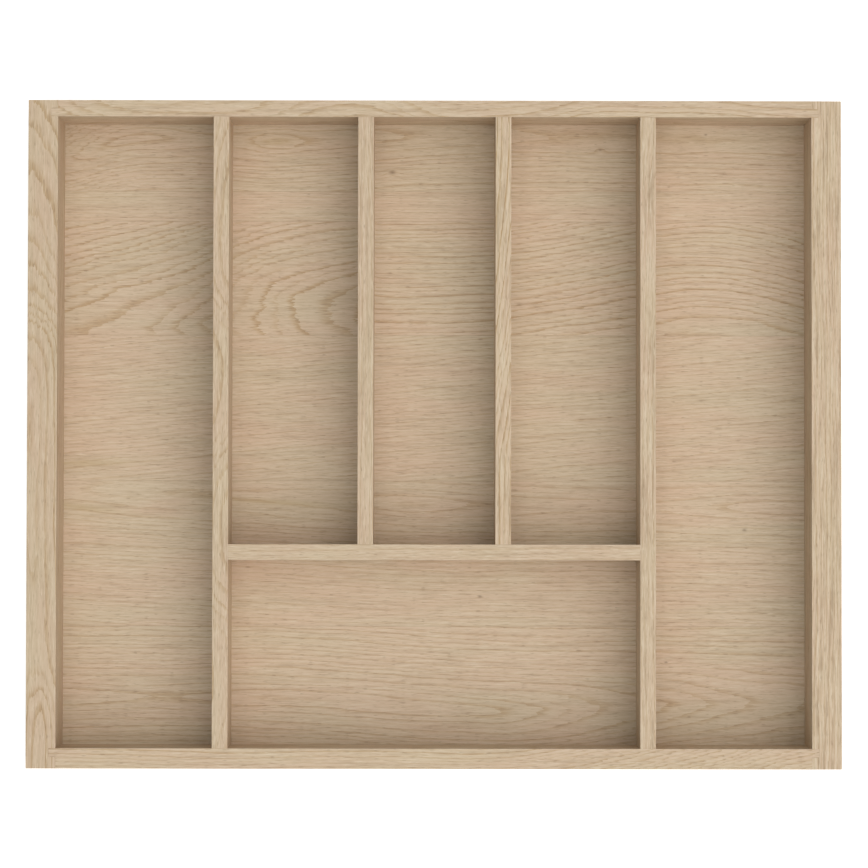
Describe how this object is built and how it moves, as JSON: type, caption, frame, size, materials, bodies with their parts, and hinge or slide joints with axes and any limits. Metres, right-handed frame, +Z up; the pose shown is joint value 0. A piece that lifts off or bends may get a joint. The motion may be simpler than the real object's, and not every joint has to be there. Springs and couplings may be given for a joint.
{
  "type": "drawer organizer insert",
  "caption": "Shallow solid oak drawer insert with a veneered floor, divided by fixed oak strips into long side compartments, upright middle compartments and a wide front one.",
  "frame": {"origin": "centre of the footprint, on the plane that the rails stand on", "axes": "+X to the right across the width, +Y to the back of the drawer, +Z up out of the compartments"},
  "size_m": [0.52, 0.427, 0.052],
  "materials": {
    "oak_rail": "matte clear lacquer over oak, grain along each rail",
    "oak_divider": "matte clear lacquer over oak, grain along each divider",
    "oak_veneer": "matte clear lacquer over oak veneer, grain left to right",
    "beech_dowel": "bare beech",
    "screw_steel": "zinc plated"
  },
  "bodies": {
    "root": {"left_side_rail": "oak_rail", "right_side_rail": "oak_rail", "back_rail": "oak_rail", "front_rail": "oak_rail", "base_panel": "oak_veneer", "left_divider": "oak_divider", "right_divider": "oak_divider", "cross_divider": "oak_divider", "left_inner_divider": "oak_divider", "right_inner_divider": "oak_divider", "left_divider_back_dowels": "beech_dowel", "left_divider_front_dowels": "beech_dowel", "right_divider_back_dowels": "beech_dowel", "right_divider_front_dowels": "beech_dowel", "cross_divider_left_dowels": "beech_dowel", "cross_divider_right_dowels": "beech_dowel", "left_inner_divider_back_dowels": "beech_dowel", "left_inner_divider_front_dowels": "beech_dowel", "right_inner_divider_back_dowels": "beech_dowel", "right_inner_divider_front_dowels": "beech_dowel", "left_divider_screws": "screw_steel", "right_divider_screws": "screw_steel", "cross_divider_screws": "screw_steel", "left_inner_divider_screws": "screw_steel", "right_inner_divider_screws": "screw_steel"}
  },
  "joints": []
}
